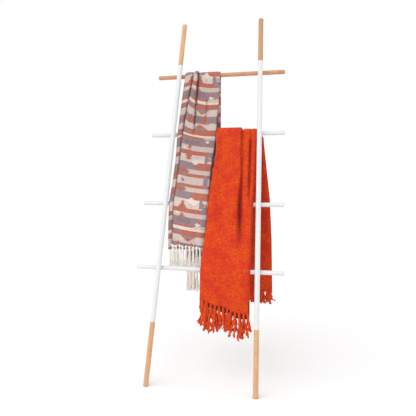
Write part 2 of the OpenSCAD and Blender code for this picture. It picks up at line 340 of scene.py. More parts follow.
def patterned_sheet(props):
    """Sheet folded in seven layers, with its last edge tucked under.

    Each layer's edges, depth and hem give the grid of points. Returns it with uv and the painted shade.
    """
    level, across, bulge = fold_columns(P_COLUMNS)
    tuck = np.linspace(0, P_TUCK_SHARE, P_TUCK_COLUMNS + 1)[1:]
    turn = turn_angles()
    level = np.concatenate([level, P_LEVELS - 0.25 * (1 - np.cos(turn)), np.full(P_TUCK_COLUMNS, 5.5)])
    across = np.concatenate([across, np.zeros(TURN_STEPS), tuck])
    bulge = np.concatenate([bulge, -np.sin(turn), np.zeros(P_TUCK_COLUMNS)])
    main = smooth(level, 5, 5.5)
    on_strip = 1 - main
    front = np.interp(across, [0, 0.45, 1], [0.908, 0.914, 0.922]) * main
    front = front + (0.938 - 0.014 * across) * on_strip
    front = front + 0.0015 * np.sin(across * 23 + level * 2)
    back = 1.060 + 0.004 * across - 0.010 * main + 0.0015 * np.sin(across * 19 + level)
    t = place_rows(P_BELT, front, back, *P_ROWS)
    shift = np.interp(level, np.arange(7), P_LAYER_SHIFT)
    left = P_LEFT(t) + shift + main * (P_VALLEY(t) - P_LEFT(t))
    right = P_RIGHT(t) - 0.8 * shift[::-1]
    x = left + across * (right - left) + bulge * (0.0008 + 0.0018 * main)
    depth = patterned_depth(level, x, t, props.stack / P_LEVELS / 1.08)
    depth = depth + patterned_sway(x, t) * smooth(depth, 0, 0.004)
    y, z = P_BELT.at(t, np.maximum(depth, P_LEAST_DEPTH))
    points = np.stack([x, y, z], -1)
    run = width_run(points, P_MIDDLE_ROW)
    run = run[-(P_TUCK_COLUMNS + TURN_STEPS + 1)] - run
    along = t + P_WOVEN_START + patterned_slip(x, t, across, main)
    uv = np.stack([np.broadcast_to(run[None], t.shape), along], -1)
    # Shade painted into the cloth's colour, 0 to 1, where shade falls: in the creases, on the back leg's face
    # beside the orange throw and behind the front fringe, along the front's right edge, and over the upper
    # front.
    first, second, third = patterned_creases(x, t)
    inside = 1 - smooth(level, 0.4, 1.0)
    # Painted shadow on the back leg's face, where it lies in shade beside the orange throw.
    beside = inside * smooth(t, 0.26, 0.34) * smooth(x, P_RIGHT(t) - 0.030, P_RIGHT(t) - 0.010)
    # Painted shade on the back leg's face behind the front fringe, seen dark between the tassels.
    under = inside * smooth(t, 0.72, 0.80) * smooth(x, -0.165, -0.135)
    # Painted shadow along the front's right edge, in the gap beside the orange throw.
    edge = smooth(x, P_RIGHT(t) - 0.007, P_RIGHT(t) - 0.001) * smooth(-t, 0.16, 0.26)
    edge = edge * (1 - smooth(-t, 0.55, 0.72))
    # Painted shade over the upper front, darkest near the rung and fading out lower down.
    shade = 0.19 * smooth(-t, -0.02, 0.02) * (1 - smooth(-t, 0.42, 0.80))
    # Painted shade in the creases.
    painted_shade = first * (x < P_VALLEY(t) + 0.002) + second + 0.35 * third
    painted_shade = painted_shade + 0.85 * beside + 0.65 * under + 0.8 * edge + shade
    return points, uv, np.clip(painted_shade, 0, 1)


# ---- The orange throw ----

O_BELT = Belt(SECOND, BOTTOM, rung_radius("second_rung") + SKIN_GAP)
O_LEVELS = 6
O_COLUMNS = (18, 16, 18, 16, 20, 78)
O_ROWS = (86, 12, 80)
O_MIDDLE_ROW = 40
O_WOVEN_START = 0.9
O_LEAST_DEPTH = 0.0024
O_FRONT_TIPS = (
    (-0.04, 0.292), (0.0, 0.236), (0.08, 0.250), (0.13, 0.238), (0.165, 0.204), (0.19, 0.238), (0.21, 0.256),
)
O_BACK_TIP = 0.346
O_LEFT = line_through([
    (-0.85, -0.034), (-0.773, -0.032), (-0.679, -0.030), (-0.605, -0.026), (-0.531, -0.019),
    (-0.46, -0.012), (-0.333, -0.008), (-0.251, 0.001), (-0.173, 0.009), (-0.105, 0.015), (0.0, 0.009),
    (0.05, 0.010), (0.82, 0.010),
])
O_RIGHT = line_through([
    (-0.91, 0.2065), (-0.70, 0.2085), (-0.40, 0.2075), (-0.20, 0.2110), (0.0, 0.2115), (0.036, 0.2115),
    (0.042, 0.237), (0.060, 0.2385), (0.125, 0.246), (0.24, 0.259), (0.37, 0.274), (0.58, 0.285), (0.84, 0.290),
])
O_CREASE_A = line_through([
    (-0.62, 0.158), (-0.477, 0.151), (-0.352, 0.147), (-0.225, 0.149), (-0.10, 0.145), (0.01, 0.140),
    (0.05, 0.140),
])
O_CREASE_B = line_through([(-0.45, 0.198), (-0.30, 0.190), (-0.20, 0.187), (-0.002, 0.184), (0.05, 0.184)])
O_DIP = line_through([(-0.9, 0.085), (-0.6, 0.078), (-0.3, 0.050), (0.0, 0.040)])
O_LAYER_SHIFT = np.array([0.002, -0.002, 0.001, -0.002, 0.001, 0.001])


def orange_creases(x, t):
    """Depth of the front's two creases, 0 to 1: narrow at the rung, wider and softer further down."""
    over = smooth(-t, -0.04, -0.012)
    wide = smooth(-t, 0.22, 0.46)
    first = over * bell(x, O_CREASE_A(t), 0.0056 + 0.0080 * wide) * (1 - smooth(-t, 0.36, 0.66))
    body = smooth(-t, 0.0, 0.06)
    second = over * bell(x, O_CREASE_B(t), 0.0036 + 0.0030 * body) * (0.45 + 0.55 * body)
    second = second * (1 - smooth(-t, 0.20, 0.42))
    return first, second


def orange_depth(level, x, t, pitch):
    """Height of each layer over the rung: level times pitch, thinner right of the first crease."""
    top = smooth(-t, -0.06, -0.01) * (1 - smooth(-t, 0.05, 0.45))
    step = 1.12 - 0.44 * smooth(x, O_CREASE_A(t) - 0.004, O_CREASE_A(t) + 0.003)
    thick = 1 + top * (step - 1)
    first, second = orange_creases(x, t)
    thick = thick * (1 - 0.82 * first) * (1 - 0.74 * second)
    rim = rim_of(x, O_LEFT(t), O_RIGHT(t))
    thick = thick * (0.62 + 0.38 * np.sqrt(np.clip(1 - rim ** 18, 0, 1)))
    return pitch * (level + 0.5) * thick


def orange_sway(x, t):
    """Soft waves of the whole stack: a broad dip down the front and folds in the free hang, front and back."""
    hang = smooth(-t, 0.45, 0.85)
    behind = smooth(t, 0.08, 0.5)
    dip = -0.0045 * bell(x, O_DIP(t), 0.024) * smooth(-t, 0.15, 0.45)
    swell = 0.0045 * bell(x, O_DIP(t) + 0.065, 0.03) * smooth(-t, 0.35, 0.7)
    fold = np.sin(x * 62 + 1.8 * np.sin(t * 2.7)) + 0.4 * np.sin(x * 118 + t * 4.0)
    wave = 0.0040 * behind * np.sin(x * 55 + 1.2 * np.sin(t * 4))
    return dip + swell + 0.0012 * fold * hang + wave


def orange_lift(x, t):
    """How far the whole stack is raised off the rungs.

    Its left edge is lifted where the patterned throw lies beside it, and its back over the bolt head behind the
    right pole.
    """
    on_throw = 0.0125 * (1 - smooth(x, 0.012, 0.040))
    on_throw = on_throw * smooth(-t, -0.02, 0.02) * (1 - smooth(-t, 0.40, 0.50))
    low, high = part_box("right_white_tube")
    over_bolt = 0.009 * bell(x, (low.x + high.x) / 2, 0.020)
    over_bolt = over_bolt * smooth(t, 0.010, 0.028) * (1 - smooth(t, 0.055, 0.085))
    return on_throw + over_bolt


def orange_sheet(props):
    """Sheet folded in six layers, made and returned as patterned_sheet does."""
    level, across, bulge = fold_columns(O_COLUMNS)
    hem = ((0, 0.842), (0.056, 0.850), (0.355, 0.872), (0.593, 0.883), (0.734, 0.900), (0.98, 0.905))
    front = np.interp(across, *np.array(hem).T)
    front = front + 0.030 * (5 - level) / 5 + 0.002 * np.sin(across * 17 + level * 2)
    back = np.interp(across, [0, 0.75, 1], [0.824, 0.824, 0.806]) + 0.002 * np.sin(across * 21 + level)
    t = place_rows(O_BELT, front, back, *O_ROWS)
    shift = np.interp(level, np.arange(O_LEVELS), O_LAYER_SHIFT)
    left = O_LEFT(t) + shift
    right = O_RIGHT(t) - 0.8 * shift
    x = left + across * (right - left) + bulge * 0.0024
    depth = orange_depth(level, x, t, props.stack / O_LEVELS)
    free = smooth(t, O_BELT.round_top + 0.01, O_BELT.round_top + 0.08)
    sway = orange_sway(x, t) * np.maximum(smooth(depth, 0, 0.006), free)
    depth = np.maximum(depth + sway, O_LEAST_DEPTH - 0.01 * free)
    y, z = O_BELT.at(t, depth + orange_lift(x, t))
    points = np.stack([x, y, z], -1)
    run = width_run(points, O_MIDDLE_ROW)
    uv = np.stack([np.broadcast_to(run[None], t.shape), t + O_WOVEN_START], -1)
    # Shade painted into the wool's colour, 0 to 1, where shade falls: in the two creases, on the back leg
    # beside the right pole, along the left edge of the under-layers, and on the inner layers below the front
    # hem.
    first, second = orange_creases(x, t)
    behind = smooth(t, 0.03, 0.06)
    inside = 1 - smooth(level, 0.4, 1.0)
    # Painted shade on the back leg's face between the front's right edge and the pole.
    back_leg_shade = 0.15 * behind * inside * (1 - smooth(x, 0.236, 0.274)) * smooth(x, 0.15, 0.19)
    covered = 1 - smooth(level, 4.2, 4.8)
    # Painted shadow along the left edge of the layers under the top ones, in the gap beside the patterned
    # throw.
    left_edge_shadow = (1 - smooth(x, O_LEFT(t), O_LEFT(t) + 0.003)) * covered * (1 - behind)
    # Painted shade on the inner layers where they hang below the front hem, behind the tassels.
    under = 0.75 * covered * smooth(-t, 0.838, 0.850)
    return points, uv, np.clip(1.3 * first + 1.25 * second + back_leg_shade + left_edge_shadow + under, 0, 1)


# ---- Fringes ----

def hem_roots(points, row, spacing, pull):
    """Places along one hem where tassels start, spacing apart along the folded edge.

    The tassels of one layer hang near those of the next, so each root is pulled towards a shared spacing, and
    less so at the far left. The first and last roots stay inside the hem's ends.
    """
    hem = points[row]
    run = width_run(points, row)
    at = np.arange(spacing / 2, run[-1], spacing)
    roots = np.stack([np.interp(at, run, hem[:, axis]) for axis in range(3)], -1)
    shared = np.round(roots[:, 0] / spacing) * spacing
    order = pull * (0.4 + 0.6 * smooth(roots[:, 0], -0.17, -0.11))
    placed_at = roots[:, 0] + order * (shared - roots[:, 0])
    first = hem[:, 0].min() + 0.42 * spacing
    last = hem[:, 0].max() - 0.30 * spacing
    roots[:, 0] = np.clip(placed_at, first, last)
    return roots


def chooser(rng, shape):
    """A function that draws random values of one shape between two limits."""

    def pick(low, high):
        return rng.uniform(low, high, shape)

    return pick


def cords(name, centre, radius, sides, lobes=0, lobe=0.0, twist=None):
    """Hanging cords as level rings round each centre line. Lobes twist down the cord.

    centre is cords by rings by 3, and radius and twist are cords by rings.
    """
    count, rings = radius.shape
    angle = np.arange(sides) * 2 * np.pi / sides
    turned = angle[None, None] + (0 if twist is None else twist[..., None])
    shape = 1 - lobe * (1 - np.abs(np.cos(lobes / 2 * turned))) if lobes else np.ones_like(turned)
    reach = radius[..., None] * shape * np.ones(sides)
    ring = np.stack([np.cos(angle), np.sin(angle)], -1)
    flat = centre[:, :, None, :2] + reach[..., None] * ring[None, None]
    height = np.broadcast_to(centre[:, :, None, 2:], reach.shape + (1,))
    points = np.concatenate([flat, height], -1)
    quads = grid_faces(rings, sides, wrap=True)[:, ::-1]
    start = np.arange(count)[:, None] * rings * sides
    walls = (start[:, :, None] + quads[None]).reshape(-1, 4)
    top = start + np.arange(sides)[None]
    bottom = start + (rings - 1) * sides + np.arange(sides)[None, ::-1]
    uv = np.stack([
        np.broadcast_to(angle / (2 * np.pi), reach.shape) + np.arange(count)[:, None, None],
        np.broadcast_to(centre[:, :1, None, 2] - centre[:, :, None, 2], reach.shape),
    ], -1)
    return piece_from(name, points, walls.tolist() + top.tolist() + bottom.tolist(), uv)


def rope_tassels(name, roots, length, rng, radius=0.0064):
    """Twisted tassels: each centre line hangs from its root with a small lean and two slow bends."""
    count = len(roots)
    rings = 40
    share = np.linspace(0, 1, rings)[None]
    pick = chooser(rng, (count, 1))
    lean_x = np.clip(rng.normal(0, 0.016, (count, 1)), -0.03, 0.03)
    lean_y = pick(-0.010, 0.008)
    bend = pick(-0.014, 0.014) * np.sin(share * pick(3.0, 9.0) + pick(0, FULL_TURN)) * share
    bend_y = pick(-0.005, 0.005) * np.sin(share * pick(3.0, 7.0) + pick(0, FULL_TURN)) * share
    drop = length[:, None]
    centre = np.stack([
        roots[:, :1] + lean_x * share ** 1.4 + bend,
        roots[:, 1:2] + lean_y * share + bend_y,
        roots[:, 2:] + 0.006 - (drop + 0.006) * share,
    ], -1)
    waist = 0.70 + 0.30 * smooth(share, 0.0, 0.10) - 0.14 * smooth(share, 0.45, 0.88)
    frayed = 0.34 * smooth(share, 0.86, 0.94) - 0.80 * smooth(share, 0.945, 1.0)
    size = radius * pick(0.82, 1.15) * (waist + frayed)
    twist = drop * share * 2 * np.pi / ROPE_PITCH + pick(0, FULL_TURN)
    return cords(name, centre, size, 12, lobes=2, lobe=0.50, twist=twist)


def knotted_tassels(name, roots, length, rng):
    """Knotted tassels: strands gather from the hem into a knot, and hang loose and slightly wavy below it."""
    per = 5
    rings = 26
    count = len(roots)
    share = np.linspace(0, 1, rings)[None, None] ** 1.25
    pick = chooser(rng, (count, per, 1))
    each = np.linspace(-1, 1, per)[None, :, None]
    drop = length[:, None, None] * pick(0.86, 1.05)
    knot = 0.011 / drop
    above = np.clip(1 - share / knot, 0, 1)
    below = np.clip((share - knot) / (1 - knot), 0, 1)
    spread = each * (0.0070 * above + 0.0013) + (pick(-0.003, 0.003) + each * 0.0026) * below
    wave = pick(0.0004, 0.0022) * np.sin(share * pick(6, 16) + pick(0, FULL_TURN)) * below
    side = pick(-0.0018, 0.0018) + pick(-0.004, 0.004) * below
    side = side + pick(0.0004, 0.0016) * np.sin(share * pick(5, 14)) * below
    tilt = rng.uniform(-0.006, 0.006, (count, 1, 1)) * share
    centre = np.stack([
        roots[:, None, :1] + spread + wave + tilt,
        roots[:, None, 1:2] + side,
        roots[:, None, 2:] + 0.003 - (drop + 0.003) * share,
    ], -1).reshape(count * per, rings, 3)
    swell = 0.0015 + 0.0022 * bell(share, knot, 0.035) - 0.0008 * smooth(share, 0.9, 1.0)
    size = (swell * pick(0.85, 1.15)).reshape(count * per, rings)
    return cords(name, centre, size, 5)


# ---- Materials ----

def add(tree, kind, inputs=None, **settings):
    """Adds a shader node, sets its settings, and links or sets the inputs given by name or number."""
    node = tree.nodes.new("ShaderNode" + kind)
    for key, value in settings.items():
        setattr(node, key, value)
    for key, value in (inputs or {}).items():
        if isinstance(value, bpy.types.NodeSocket):
            tree.links.new(value, node.inputs[key])
        else:
            node.inputs[key].default_value = value
    return node


def calc(tree, operation, *values):
    """The result of one Math node."""
    return add(tree, "Math", dict(enumerate(values)), operation=operation).outputs[0]


def blended(tree, factor, first, second):
    """The colour of one Mix node, from colour sockets or colour tuples."""
    node = add(tree, "Mix", data_type="RGBA", clamp_factor=True)
    for index, value in ((0, factor), (6, first), (7, second)):
        if isinstance(value, bpy.types.NodeSocket):
            tree.links.new(value, node.inputs[index])
        else:
            node.inputs[index].default_value = value if index == 0 else (*value, 1)[:4]
    return node.outputs[2]


def finish(name, **constants):
    """A material with one Principled shader whose constant values are set on its own sockets."""
    material = bpy.data.materials.new(name)
    material.use_nodes = True
    tree = material.node_tree
    shader = tree.nodes["Principled BSDF"]
    for key, value in constants.items():
        shader.inputs[key.replace("_", " ")].default_value = value
    return material, tree, shader


def stretched(tree, vector, scale, turn=(0, 0, 0)):
    """Coordinates turned and stretched by a Mapping node."""
    return add(tree, "Mapping", {"Vector": vector, "Rotation": turn, "Scale": scale}).outputs[0]


def placed(tree, turn=(0, 0, 0), scale=(1, 1, 1)):
    """Coordinates on the piece, turned and stretched."""
    return stretched(tree, add(tree, "TexCoord").outputs["Object"], scale, turn)


def cloth_place(tree):
    """Place on the flat cloth: across it, along it, and both as a vector."""
    place = add(tree, "SeparateXYZ", {0: add(tree, "UVMap", uv_map="cloth").outputs[0]})
    u = place.outputs[0]
    v = place.outputs[1]
    return u, v, add(tree, "CombineXYZ", {0: u, 1: v}).outputs[0]


def noise(tree, vector, scale, detail=3.0, rough=0.55):
    """The value of a noise texture."""
    inputs = {"Vector": vector, "Scale": scale, "Detail": detail, "Roughness": rough}
    return add(tree, "TexNoise", inputs).outputs[0]


def spread_of(tree, value, low, high, to_low=0.0, to_high=1.0):
    """A value stretched from low..high to to_low..to_high and held there."""
    return add(tree, "MapRange", {0: value, 1: low, 2: high, 3: to_low, 4: to_high}).outputs[0]


def surface(tree, shader, colour, height, distance, strength, rough=None):
    """Links a colour and a height to the shader, and a roughness if given as (value, low, high)."""
    tree.links.new(colour, shader.inputs["Base Color"])
    if rough:
        value, low, high = rough
        tree.links.new(spread_of(tree, value, 0.3, 0.7, low, high), shader.inputs["Roughness"])
    bump = add(tree, "Bump", {"Height": height, "Distance": distance, "Strength": strength})
    tree.links.new(bump.outputs[0], shader.inputs["Normal"])


def srgb(r, g, b):
    """Linear colour from display values of 0 to 255."""
    shares = (r / 255, g / 255, b / 255)
    return tuple(v / 12.92 if v <= 0.04045 else ((v + 0.055) / 1.055) ** 2.4 for v in shares)


def toned(colour, share):
    """A share of a colour."""
    return tuple(share * c for c in colour)


def wood_finish(name, light, dark, turn):
    """Pale hardwood: growth lines, fine fibres and short dark pores, all along the turned Z axis."""
    material, tree, shader = finish(name, Roughness=0.45, Coat_Weight=0.12, Coat_Roughness=0.3)
    along = placed(tree, turn, (1, 1, 0.045))
    fine = placed(tree, turn, (1, 1, 0.02))
    drift = noise(tree, along, 60, 3)
    rings = noise(tree, placed(tree, turn, (1, 1, 0.012)), 420, 2, 0.6)
    fibre = noise(tree, fine, 1500, 2, 0.7)
    pores = spread_of(tree, noise(tree, placed(tree, turn, (1, 1, 0.055)), 1100, 1), 0.68, 0.76)
    grain = calc(tree, "MULTIPLY_ADD", rings, 0.6, calc(tree, "MULTIPLY", drift, 0.4))
    colour = blended(tree, spread_of(tree, grain, 0.30, 0.68), dark, light)
    colour = blended(tree, spread_of(tree, fibre, 0.35, 0.7, 0.0, 0.22), colour, dark)
    colour = blended(tree, calc(tree, "MULTIPLY", pores, 0.35), colour, toned(dark, 0.5))
    height = calc(tree, "SUBTRACT", fibre, pores)
    surface(tree, shader, colour, height, 0.0002, 0.5, (fibre, 0.36, 0.52))
    return material


def paint_finish(name, colour):
    """Satin powder coat: faint orange peel, faint patches of gloss and a trace of handling marks."""
    material, tree, shader = finish(name, Coat_Weight=0.05)
    where = placed(tree)
    peel = noise(tree, where, 520, 2)
    patch = noise(tree, where, 9, 4)
    rub = spread_of(tree, noise(tree, placed(tree, scale=(1, 1, 0.2)), 60, 4), 0.62, 0.8)
    shade = blended(tree, spread_of(tree, patch, 0.3, 0.7), colour, toned(colour, 0.965))
    shade = blended(tree, calc(tree, "MULTIPLY", rub, 0.35), shade, toned(colour, 0.86))
    surface(tree, shader, shade, peel, 0.00012, 0.5, (patch, 0.30, 0.42))
    return material


def moulded_finish(name, colour, roughness, grain=900, depth=0.00015, metal=0.0):
    """Moulded, plated or turned parts: a fine grain in the surface and a slow change of shade."""
    material, tree, shader = finish(name, Metallic=metal)
    where = placed(tree)
    fine = noise(tree, where, grain, 2)
    slow = noise(tree, where, 45, 3)
    shade = blended(tree, spread_of(tree, slow, 0.3, 0.7), colour, toned(colour, 0.82))
    surface(tree, shader, shade, fine, depth, 0.6, (fine, roughness - 0.06, roughness + 0.08))
    return material


def threads(tree, u, v, pitch):
    """Height of a plain weave: warp and weft waves that go over and under each other."""
    warp = calc(tree, "SINE", calc(tree, "MULTIPLY", u, 2 * math.pi / pitch))
    weft = calc(tree, "SINE", calc(tree, "MULTIPLY", v, 2 * math.pi / pitch))
    return calc(tree, "MULTIPLY", warp, weft)


def band_ramp(tree, factor, bands, span):
    """A stepped colour ramp from (start in metres, colour) bands over a span."""
    ramp = add(tree, "ValToRGB", {0: factor})
    ramp.color_ramp.interpolation = "CONSTANT"
    elements = ramp.color_ramp.elements
    while len(elements) < len(bands):
        elements.new(0.5)
    for element, (start, colour) in zip(elements, bands):
        element.position = start / span
        element.color = (*colour, 1)
    return ramp.outputs[0]


def patch(tree, w, d, shape):
    """1 inside a woven patch.

    shape is its middle and half width across, its middle and half height up, and how much its stepped ends draw
    in (above 0) or spread (below 0) away from its middle line.
    """
    middle_w, half_w, middle_d, half_d, slant = shape
    across = calc(tree, "ABSOLUTE", calc(tree, "SUBTRACT", w, middle_w))
    up = calc(tree, "ABSOLUTE", calc(tree, "SUBTRACT", d, middle_d))
    inside = calc(tree, "LESS_THAN", calc(tree, "MULTIPLY_ADD", up, slant, across), half_w)
    return calc(tree, "MULTIPLY", inside, calc(tree, "LESS_THAN", up, half_d))


# The weaving chart. The ground bands run up from the middle line of one mirrored repeat to the next.
BANDS = (
    (0.000, "mauve"), (0.020, "beige"), (0.057, "clay"), (0.089, "line"), (0.102, "clay"), (0.112, "mauve"),
    (0.153, "beige"), (0.178, "clay"), (0.201, "cream"), (0.241, "mauve"), (0.283, "clay"), (0.322, "beige"),
)
HALF_REPEAT = 0.341
HALF_REPEAT_ACROSS = 0.19
PATCHES = (
    ("mauve", (0.135, 0.05, 0.0, 0.02, 0.0)), ("clay", (0.03, 0.017, 0.0, 0.024, 0.5)),
    ("clay", (0.104, 0.019, 0.0, 0.024, 0.6)), ("dusk", (0.068, 0.02, 0.0, 0.019, 0.0)),
    ("cream", (0.03, 0.03, 0.04, 0.016, 0.8)), ("clay", (0.085, 0.04, 0.058, 0.026, 1.3)),
    ("mauve", (0.088, 0.034, 0.053, 0.007, 1.5)), ("cream", (0.15, 0.026, 0.038, 0.017, 0.5)),
    ("mauve", (0.022, 0.019, 0.078, 0.011, 1.2)), ("beige", (0.15, 0.04, 0.107, 0.007, 1.0)),
    ("dusk", (0.055, 0.042, 0.136, 0.013, 0.6)), ("line", (0.132, 0.013, 0.124, 0.009, 1.2)),
    ("clay", (0.134, 0.008, 0.138, 0.01, 0.5)), ("clay", (0.044, 0.014, 0.158, 0.016, 0.9)),
    ("line", (0.02, 0.01, 0.17, 0.008, 1.0)), ("mauve", (0.168, 0.026, 0.196, 0.018, 0.8)),
    ("clay", (0.044, 0.024, 0.2, 0.026, 0.7)), ("clay", (0.044, 0.013, 0.222, 0.012, 0.9)),
    ("line", (0.098, 0.04, 0.238, 0.02, 1.7)), ("beige", (0.088, 0.018, 0.216, 0.01, 1.4)),
    ("mauve", (0.142, 0.014, 0.222, 0.02, 0.4)), ("clay", (0.166, 0.009, 0.222, 0.01, 1.0)),
    ("clay", (0.152, 0.076, 0.263, 0.021, 1.5)), ("beige", (0.142, 0.084, 0.294, 0.01, -1.2)),
    ("mauve", (0.03, 0.022, 0.307, 0.009, 1.8)), ("mauve", (0.151, 0.014, 0.33, 0.024, 0.3)),
    ("mauve", (0.027, 0.011, 0.341, 0.01, 1.0)), ("cream", (0.01, 0.012, 0.33, 0.012, 0.6)),
)


def weave_finish(props):
    """Jacquard bands and stepped patches, mirrored up and across the cloth."""
    yarns = {name: tuple(getattr(props, name)) for name in ("cream", "clay", "mauve", "line")}
    yarns["beige"] = tuple(0.85 * a + 0.15 * b for a, b in zip(yarns["cream"], yarns["mauve"]))
    yarns["dusk"] = toned(yarns["mauve"], 0.72)
    material, tree, shader = finish(
        "patterned_weave", Roughness=0.9, Sheen_Weight=0.06, Specular_IOR_Level=0.25
    )
    u, v, cloth = cloth_place(tree)
    ragged = calc(tree, "MULTIPLY_ADD", noise(tree, cloth, 150, 1), 0.0035, v)
    w = calc(tree, "PINGPONG", calc(tree, "SNAP", u, props.cell), HALF_REPEAT_ACROSS)
    stepped = calc(tree, "SNAP", calc(tree, "ADD", ragged, 0.0045), 0.7 * props.cell)
    d = calc(tree, "PINGPONG", stepped, HALF_REPEAT)
    bands = [(start, yarns[yarn]) for start, yarn in BANDS]
    colour = band_ramp(tree, calc(tree, "DIVIDE", d, HALF_REPEAT), bands, HALF_REPEAT)
    for yarn, shape in PATCHES:
        colour = blended(tree, patch(tree, w, d, shape), colour, yarns[yarn])
    melange = noise(tree, cloth, 420, 3, 0.7)
    weft = noise(tree, stretched(tree, cloth, (0.10, 1, 1)), 620, 3, 0.7)
    warp = noise(tree, stretched(tree, cloth, (1, 0.07, 1)), 330, 3, 0.7)
    colour = blended(tree, spread_of(tree, melange, 0.40, 0.66, 0.0, 0.55), colour, yarns["dusk"])
    colour = blended(tree, spread_of(tree, weft, 0.46, 0.72, 0.03, 0.38), colour, yarns["beige"])
    colour = blended(tree, spread_of(tree, warp, 0.46, 0.72, 0.0, 0.25), colour, yarns["clay"])
    height = calc(tree, "ADD", threads(tree, u, v, WEAVE_PITCH), calc(tree, "MULTIPLY", melange, 1.2))
    shadow = toned(yarns["mauve"], 0.30)
    colour = blended(tree, spread_of(tree, height, -0.6, 0.5, 0.30, 0.0), colour, shadow)
    # Painted shade: the colour darkens towards a very dark terracotta where the sheet's painted shade is high,
    # in creases, gaps and shadowed parts.
    deep = add(tree, "Attribute", attribute_name="painted_shade").outputs["Fac"]
    colour = blended(tree, calc(tree, "MULTIPLY", deep, 0.90), colour, toned(yarns["clay"], 0.10))
    surface(tree, shader, colour, height, 0.0006, 0.7)
    return material


def wool_finish(props):
    """Nubby brushed wool: a coarse plain weave under loose loops of pile, mottled light and dark, with the dark
    in the hollows between the nubs partly the wool's own tone and partly painted shade.
    """
    bright = tuple(props.bright)
    deep = tuple(props.deep)
    material, tree, shader = finish(
        "orange_wool", Roughness=0.95, Sheen_Weight=0.06, Sheen_Roughness=0.45, Specular_IOR_Level=0.2
    )
    u, v, cloth = cloth_place(tree)
    nub = noise(tree, cloth, 95, 3, 0.7)
    pile = noise(tree, stretched(tree, cloth, (1, 0.35, 1)), 300, 3, 0.7)
    patch_tone = noise(tree, cloth, 16, 3)
    tone = calc(tree, "ADD", calc(tree, "MULTIPLY", nub, 0.65), calc(tree, "MULTIPLY", pile, 0.35))
    rose = (0.88 * bright[0], 0.50 * bright[1], 1.8 * bright[2])
    hue = blended(tree, spread_of(tree, patch_tone, 0.40, 0.62), bright, rose)
    # The deep colour lies where the nubs are low: partly the wool's own mottled tone, partly shade painted into
    # the hollows between them.
    colour = blended(tree, spread_of(tree, tone, 0.36, 0.58), deep, hue)
    weave = calc(tree, "MULTIPLY", threads(tree, u, v, WOOL_PITCH), 0.35)
    height = calc(tree, "ADD", weave, calc(tree, "MULTIPLY", tone, 1.6))
    # Painted shade: the colour darkens towards dark red where the sheet's painted shade is high, in creases,
    # gaps and shadowed parts.
    fold = add(tree, "Attribute", attribute_name="painted_shade").outputs["Fac"]
    shadow = (0.28 * deep[0], 0.05 * deep[1], 0.2 * deep[2])
    colour = blended(tree, calc(tree, "MULTIPLY", fold, 0.92), colour, shadow)
    surface(tree, shader, colour, height, 0.0016, 0.8)
    return material


def yarn_finish(name, light, dark, twist=900.0):
    """Spun yarn: fine plies that run round the cord, with lighter and darker lengths."""
    material, tree, shader = finish(name, Roughness=0.9, Sheen_Weight=0.08, Specular_IOR_Level=0.2)
    where = placed(tree, scale=(1, 1, 0.5))
    ply = noise(tree, where, twist, 2, 0.7)
    length = noise(tree, placed(tree, scale=(1, 1, 0.25)), 120, 3)
    colour = blended(tree, spread_of(tree, ply, 0.35, 0.65), dark, light)
    colour = blended(tree, spread_of(tree, length, 0.35, 0.65, 0.0, 0.4), colour, light)
    surface(tree, shader, colour, ply, 0.0006, 0.7)
    return material


def dress(piece, material):
    """Gives a piece or a CAD node one material in all its slots."""
    if not piece.material_slots:
        piece.data.materials.append(material)
    for slot in piece.material_slots:
        slot.material = material


def dress_nodes(names, material):
    """Gives CAD nodes one material."""
    for name in names:
        dress(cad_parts[name], material)


# ---- Settings ----

def number_of(name, note, value, **kind):
    """A setting of one number."""
    return bpy.props.FloatProperty(name=name, description=note, default=value, **kind)


def vector_of(name, note, value, **kind):
    """A setting of three numbers."""
    return bpy.props.FloatVectorProperty(name=name, description=note, default=value, **kind)


def colour_of(name, note, value):
    """A colour setting."""
    return vector_of(name, note, value, subtype="COLOR", size=3, min=0, max=1)


def length_of(name, note, value):
    """A length setting, in metres."""
    return number_of(name, note, value, unit="LENGTH", min=0, precision=4)


def angle_of(name, note, degrees):
    """An angle setting, given in degrees."""
    return number_of(name, note, math.radians(degrees), subtype="ANGLE")


class RackSettings(bpy.types.PropertyGroup):
    """Finishes of the ladder."""

    pole_light: colour_of("Pole wood light", "Lighter grain of the pole ends", srgb(238, 196, 150))
    pole_dark: colour_of("Pole wood dark", "Darker grain of the pole ends", srgb(206, 152, 102))
    rung_light: colour_of("Rung wood light", "Lighter grain of the wooden rung", srgb(210, 162, 120))
    rung_dark: colour_of("Rung wood dark", "Darker grain of the wooden rung", srgb(180, 118, 80))
    paint: colour_of("Paint", "White powder coat of the tubes", (0.71, 0.715, 0.715))


class PatternedSettings(bpy.types.PropertyGroup):
    """Sizes and yarns of the patterned throw."""

    width: length_of("Width", "Flat width of the cloth", 1.30)
    length: length_of("Length", "Flat length of the cloth", 2.00)
    stack: length_of("Stack", "Thickness of the folded stack", 0.010)
    thickness: length_of("Cloth thickness", "Thickness of one layer", 0.0011)
    cell: length_of("Pattern step", "Width of one step in the pattern", 0.0080)
    tassel_gap: length_of("Tassel spacing", "Distance between tassels along the hem", 0.0190)
    tassel_pull: number_of("Tassel order", "How well the layers' tassels line up", 0.95, min=0, max=1)
    cream: colour_of("Cream", "Light yarn", srgb(236, 220, 208))
    clay: colour_of("Terracotta", "Warm yarn", srgb(194, 88, 52))
    mauve: colour_of("Grey-mauve", "Cool yarn", srgb(146, 127, 137))
    line: colour_of("Line", "Yarn of the bright lines", srgb(254, 240, 224))


